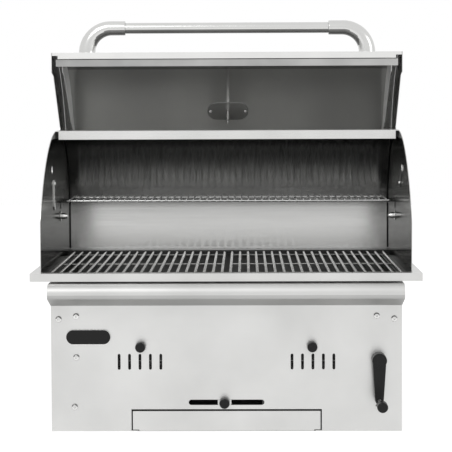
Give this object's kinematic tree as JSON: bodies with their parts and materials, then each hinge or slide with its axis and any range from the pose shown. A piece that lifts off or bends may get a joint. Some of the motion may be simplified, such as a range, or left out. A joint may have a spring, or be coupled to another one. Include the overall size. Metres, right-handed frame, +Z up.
{
  "type": "built-in charcoal grill",
  "caption": "Built-in stainless steel charcoal grill with a hinged hood, cooking grates, warming rack, ash drawer, air vents and a crank that lifts the charcoal tray.",
  "frame": {"origin": "centre of the firebox underside", "axes": "+X to the right as seen from the front, +Y to the back, +Z up"},
  "size_m": [0.798, 0.6505, 0.8595],
  "materials": {
    "outer_steel": "brushed along the width",
    "inner_steel": "polished to satin",
    "zinc_steel": "plain satin",
    "chrome": "polished",
    "black_plastic": "satin black",
    "badge_black": "gloss black",
    "dial_white": "printed white",
    "gauge_glass": "clear",
    "needle_red": "painted red"
  },
  "bodies": {
    "base": {"badge_plate": "badge_black", "bullnose_apron": "outer_steel", "crank_bush": "chrome", "drawer_rail_left": "zinc_steel", "drawer_rail_right": "zinc_steel", "firebox": "inner_steel", "front_lip": "outer_steel", "front_panel": "outer_steel", "hood_pivot_left": "zinc_steel", "hood_pivot_right": "zinc_steel", "left_flange": "outer_steel", "panel_screw_1": "zinc_steel", "panel_screw_2": "zinc_steel", "panel_screw_3": "zinc_steel", "panel_screw_4": "zinc_steel", "panel_screw_5": "zinc_steel", "panel_screw_6": "zinc_steel", "panel_screw_7": "zinc_steel", "rack_bracket_left": "inner_steel", "rack_bracket_right": "inner_steel", "rear_grate_ledge": "inner_steel", "right_flange": "outer_steel", "roof_and_back": "inner_steel", "shaft_bearing": "zinc_steel", "side_wall_left": "inner_steel", "side_wall_right": "inner_steel", "tray_guide_front": "zinc_steel", "tray_guide_rear": "zinc_steel"},
    "hood": {"hood_shell": "outer_steel", "hood_cheek_left": "outer_steel", "hood_cheek_right": "outer_steel", "hood_liner": "inner_steel", "handle_tube": "outer_steel", "handle_elbow_left": "outer_steel", "handle_elbow_right": "outer_steel", "thermometer_case": "chrome", "thermometer_dial": "dial_white", "thermometer_glass": "gauge_glass", "inner_cover_plate": "chrome"},
    "needle": {"thermometer_needle": "needle_red"},
    "left_vent": {"left_vent_damper": "zinc_steel", "left_vent_knob": "black_plastic"},
    "right_vent": {"right_vent_damper": "zinc_steel", "right_vent_knob": "black_plastic"},
    "shutter": {"air_shutter": "outer_steel", "air_shutter_knob": "black_plastic"},
    "drawer": {"ash_drawer": "zinc_steel", "ash_drawer_front": "outer_steel"},
    "crank": {"crank_arm": "black_plastic", "crank_spindle": "zinc_steel", "crank_shaft": "zinc_steel"},
    "crank_grip": {"crank_knob": "black_plastic"},
    "tray": {"charcoal_tray": "inner_steel", "charcoal_grate": "zinc_steel", "lift_rack": "zinc_steel"},
    "left_grate": {"left_cooking_grate": "inner_steel"},
    "right_grate": {"right_cooking_grate": "inner_steel"},
    "rack": {"warming_rack": "chrome"},
    "left_cover": {"left_spit_cover": "zinc_steel"},
    "right_cover": {"right_spit_cover": "zinc_steel"}
  },
  "joints": [
    {"name": "hood_hinge", "type": "hinge", "parent": "base", "child": "hood", "pos_m": [0, 0.087, 0.422], "axis": [-1, 0, 0], "range_deg": [-90, 0]},
    {"name": "needle_turn", "type": "hinge", "parent": "hood", "child": "needle", "pos_m": [0, 0.225, 0.672], "axis": [0, -0.8192, -0.5736], "range_deg": [0, 270]},
    {"name": "left_vent_slide", "type": "slide", "parent": "base", "child": "left_vent", "axis": [-1, 0, 0], "range_m": [0, 0.007]},
    {"name": "right_vent_slide", "type": "slide", "parent": "base", "child": "right_vent", "axis": [1, 0, 0], "range_m": [0, 0.007]},
    {"name": "shutter_slide", "type": "slide", "parent": "base", "child": "shutter", "axis": [1, 0, 0], "range_m": [-0.054, 0.062]},
    {"name": "drawer_slide", "type": "slide", "parent": "base", "child": "drawer", "axis": [0, -1, 0], "range_m": [0, 0.3]},
    {"name": "tray_lift", "type": "slide", "parent": "base", "child": "tray", "axis": [0, 0, 1], "range_m": [0, 0.1]},
    {"name": "crank_turn", "type": "hinge", "parent": "base", "child": "crank", "pos_m": [0.3129, -0.256, 0.15], "axis": [0, 1, 0], "range_deg": [0, 480]},
    {"name": "crank_grip_spin", "type": "hinge", "parent": "crank", "child": "crank_grip", "pos_m": [0.3129, -0.34, 0.068], "axis": [0, 1, 0], "continuous": true},
    {"name": "left_grate_lift", "type": "slide", "parent": "base", "child": "left_grate", "axis": [0, 0, 1], "range_m": [0, 0.08]},
    {"name": "right_grate_lift", "type": "slide", "parent": "base", "child": "right_grate", "axis": [0, 0, 1], "range_m": [0, 0.08]},
    {"name": "rack_lift", "type": "slide", "parent": "base", "child": "rack", "axis": [0, 0, 1], "range_m": [0, 0.06]},
    {"name": "left_cover_turn", "type": "hinge", "parent": "base", "child": "left_cover", "pos_m": [-0.377, -0.027, 0.501], "axis": [-1, 0, 0], "range_deg": [0, 132.4]},
    {"name": "right_cover_turn", "type": "hinge", "parent": "base", "child": "right_cover", "pos_m": [0.377, -0.027, 0.501], "axis": [1, 0, 0], "range_deg": [0, 132.4]}
  ],
  "couplings": [
    {"joint": "crank_turn", "follows": "tray_lift", "rad_per_m": 83.333}
  ]
}
